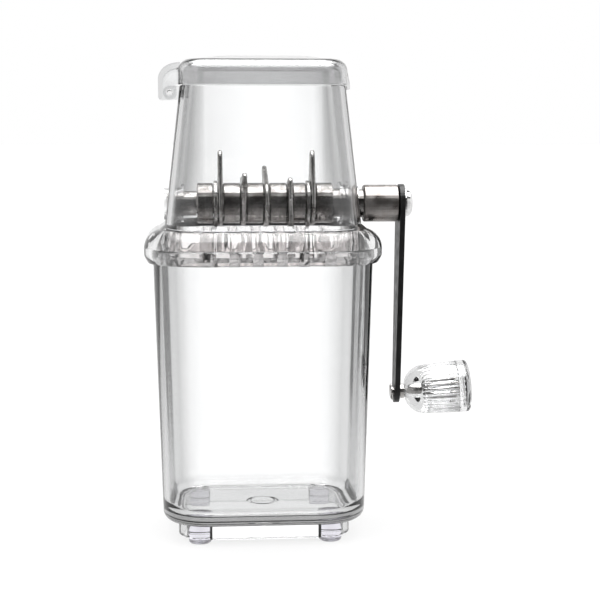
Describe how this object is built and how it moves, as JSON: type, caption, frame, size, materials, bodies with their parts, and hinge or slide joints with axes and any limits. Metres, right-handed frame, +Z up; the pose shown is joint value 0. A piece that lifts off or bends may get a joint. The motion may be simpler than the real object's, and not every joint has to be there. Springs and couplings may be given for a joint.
{
  "type": "hand-cranked ice crusher",
  "caption": "Clear tabletop ice crusher: hinged lid, tapered hopper with a toothed steel roller, side crank with knob, lift-off collar on a catch cup.",
  "frame": {"origin": "on the surface the four feet stand on, at the centre of the whole object's box seen from above, crank hanging straight down", "axes": "+Z up; the crank and its knob are on the +X side, the lid's hinge is on the -X side, the front faces -Y"},
  "size_m": [0.1684, 0.0988, 0.2435],
  "materials": {
    "clear_plastic": "clear, glossy, moulded",
    "clear_vinyl": "clear, slightly violet, soft",
    "polished_steel": "polished stainless steel",
    "blade_steel": "tumbled stainless steel",
    "brushed_gunmetal": "brushed, dark",
    "black_paint": "satin black",
    "chrome": "bright"
  },
  "bodies": {
    "cup": {"ice_cup": "clear_plastic", "foot_front_left": "clear_vinyl", "foot_front_right": "clear_vinyl", "foot_rear_left": "clear_vinyl", "foot_rear_right": "clear_vinyl"},
    "housing": {"hopper_housing": "clear_plastic", "comb_insert": "clear_plastic", "scraper_left": "polished_steel", "scraper_right": "polished_steel", "scraper_screw_left": "polished_steel", "scraper_screw_right": "polished_steel", "bushing_left": "clear_plastic", "bushing_right": "clear_plastic", "lid_hinge_pin": "clear_plastic"},
    "roller": {"drive_shaft": "polished_steel", "spacer_1": "polished_steel", "spacer_2": "polished_steel", "spacer_3": "polished_steel", "spacer_4": "polished_steel", "spacer_5": "polished_steel", "spacer_6": "polished_steel", "blade_1": "blade_steel", "blade_2": "blade_steel", "blade_3": "blade_steel", "blade_4": "blade_steel", "blade_5": "blade_steel", "drive_hub": "brushed_gunmetal", "crank_arm": "black_paint", "crank_washer": "chrome", "crank_screw": "chrome", "knob_spindle": "polished_steel", "knob_clip": "polished_steel"},
    "knob": {"knob_shell": "clear_plastic", "knob_cap": "clear_plastic"},
    "lid": {"lid_shell": "clear_plastic"}
  },
  "joints": [
    {"name": "housing_lift", "type": "slide", "parent": "cup", "child": "housing", "axis": [0, 0, 1], "range_m": [0, 0.06]},
    {"name": "crank_turn", "type": "hinge", "parent": "housing", "child": "roller", "pos_m": [-0.02457, 0, 0.1686], "axis": [1, 0, 0], "continuous": true},
    {"name": "knob_spin", "type": "hinge", "parent": "roller", "child": "knob", "pos_m": [0.04953, 0, 0.0707], "axis": [0.9976, 0, 0.0698], "continuous": true},
    {"name": "lid_open", "type": "hinge", "parent": "housing", "child": "lid", "pos_m": [-0.07079, 0, 0.2246], "axis": [0, -1, 0], "range_deg": [0, 90]}
  ]
}
